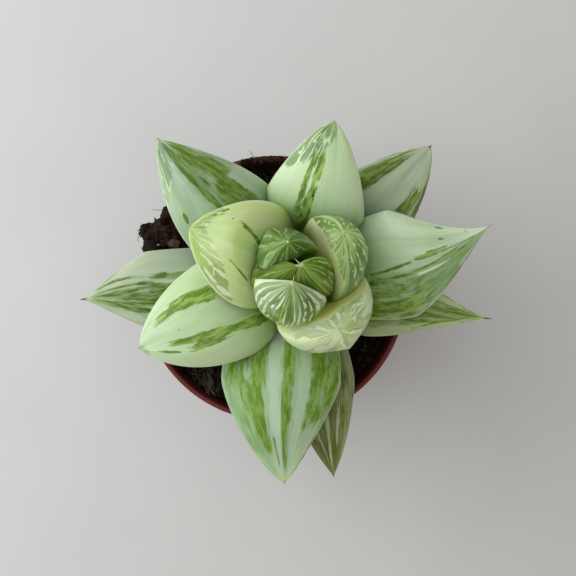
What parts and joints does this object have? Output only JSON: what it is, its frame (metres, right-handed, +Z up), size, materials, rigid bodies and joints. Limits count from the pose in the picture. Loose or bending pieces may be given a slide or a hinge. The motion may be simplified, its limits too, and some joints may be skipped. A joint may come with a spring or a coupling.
{
  "type": "potted haworthia",
  "caption": "Small variegated haworthia: a rosette of thick, pointed, green and cream striped leaves in a round plastic nursery pot of dark soil.",
  "frame": {"origin": "middle of the pot's flat foot, in the plane that it rests on", "axes": "+Z up along the pot's axis; seen from above, +X is to the right of the picture and +Y to its top"},
  "size_m": [0.0813, 0.0706, 0.0797],
  "materials": {
    "pot": "moulded reddish brown, slightly glossy on the lip",
    "soil": "crumbly dark peat with fibres",
    "stem": "pale fleshy core",
    "leaf_heart": "waxy satin, pale window lines on green",
    "leaf_inner": "waxy satin, cream with pale window lines",
    "leaf_middle": "waxy satin, cream with lengthwise green stripes",
    "leaf_outer": "waxy satin, grey green with lengthwise stripes"
  },
  "bodies": {
    "root": {"pot": "pot", "soil": "soil", "stem": "stem", "leaf_heart_1": "leaf_heart", "leaf_heart_2": "leaf_heart", "leaf_heart_3": "leaf_heart", "leaf_heart_4": "leaf_heart", "leaf_inner_1": "leaf_inner", "leaf_inner_2": "leaf_inner", "leaf_inner_3": "leaf_inner", "leaf_middle_1": "leaf_middle", "leaf_middle_2": "leaf_middle", "leaf_middle_3": "leaf_middle", "leaf_middle_4": "leaf_middle", "leaf_middle_5": "leaf_middle", "leaf_outer_1": "leaf_outer", "leaf_outer_2": "leaf_outer", "leaf_outer_3": "leaf_outer", "leaf_outer_4": "leaf_outer"}
  },
  "joints": []
}
